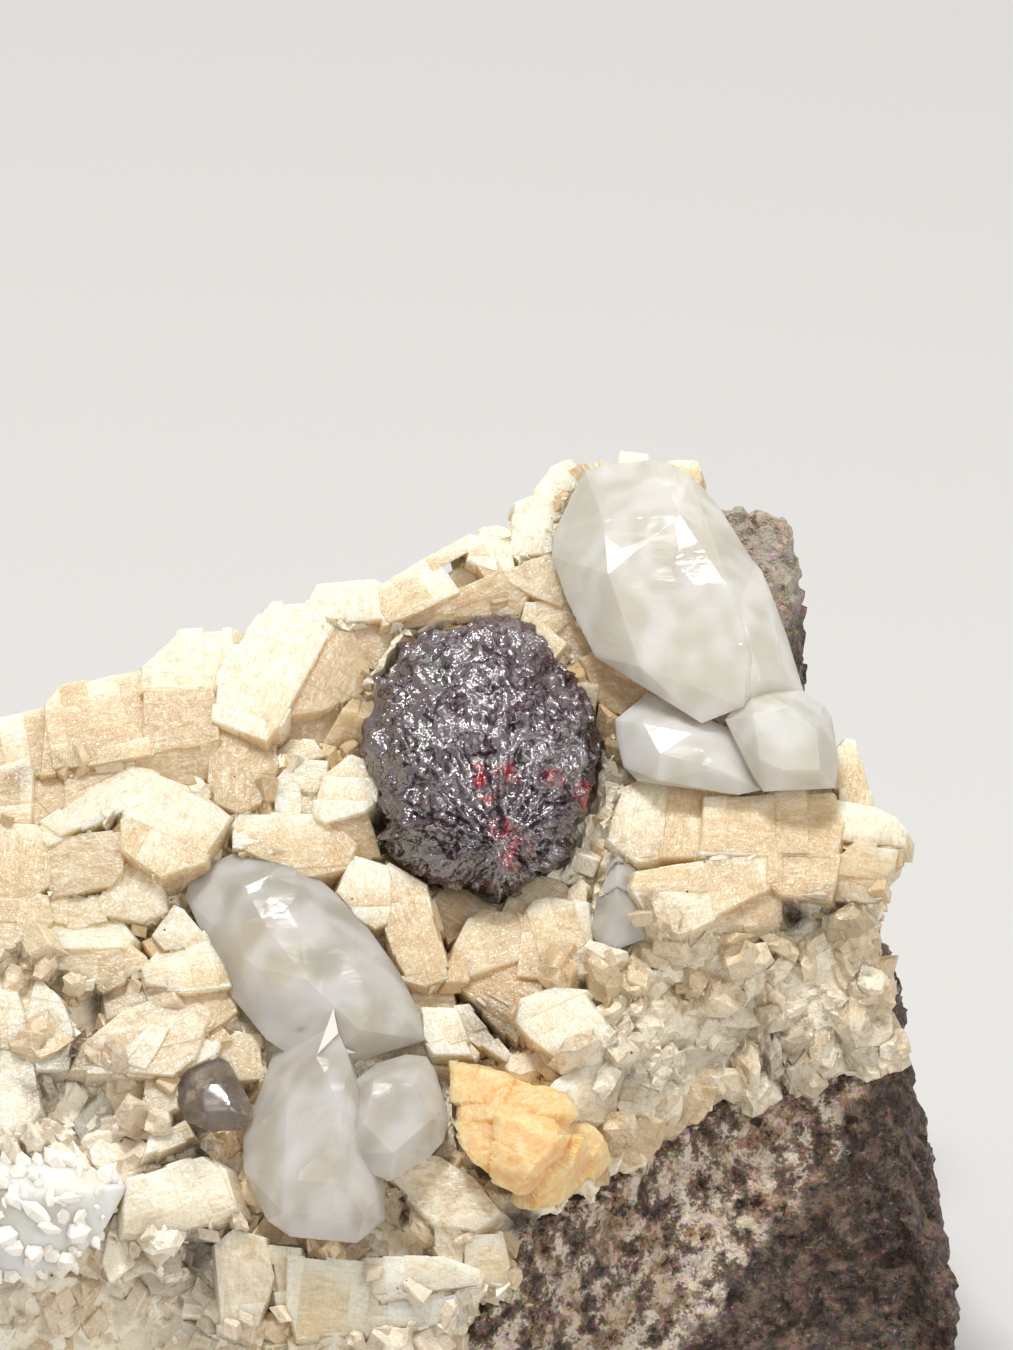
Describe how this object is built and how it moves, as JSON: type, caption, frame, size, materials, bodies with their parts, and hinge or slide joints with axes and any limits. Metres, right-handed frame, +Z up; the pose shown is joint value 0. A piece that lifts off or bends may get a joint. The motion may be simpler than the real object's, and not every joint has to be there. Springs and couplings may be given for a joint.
{
  "type": "cinnabar specimen",
  "caption": "Mineral specimen: a domed cinnabar crystal among dolomite rhombs and clear quartz on a wedge of dark rock.",
  "frame": {"origin": "on the flat cut underneath, below the middle of the specimen", "axes": "+Z up, +X to the right along the crest, -Y towards the front, which the crystal face looks over"},
  "size_m": [0.0743, 0.0544, 0.0556],
  "materials": {
    "rock": "dark brown-grey rock with a fine sparkle, mottled with cream grains towards the crust",
    "dolomite": "cream translucent dolomite rhombs with a pearly lustre and fine growth lines",
    "cinnabar": "dark red to black, crinkled, with a bright metallic to adamantine lustre and red glow",
    "quartz": "clear to slightly milky quartz with glassy faces and inner veils",
    "yellow": "waxy honey-yellow translucent crystal"
  },
  "bodies": {
    "root": {"matrix_rock": "rock", "dolomite_crust": "dolomite", "cinnabar_crystal": "cinnabar", "quartz_upper": "quartz", "quartz_lower": "quartz", "quartz_near": "quartz", "quartz_dark": "quartz", "quartz_druse": "quartz", "yellow_crystal": "yellow"}
  },
  "joints": []
}
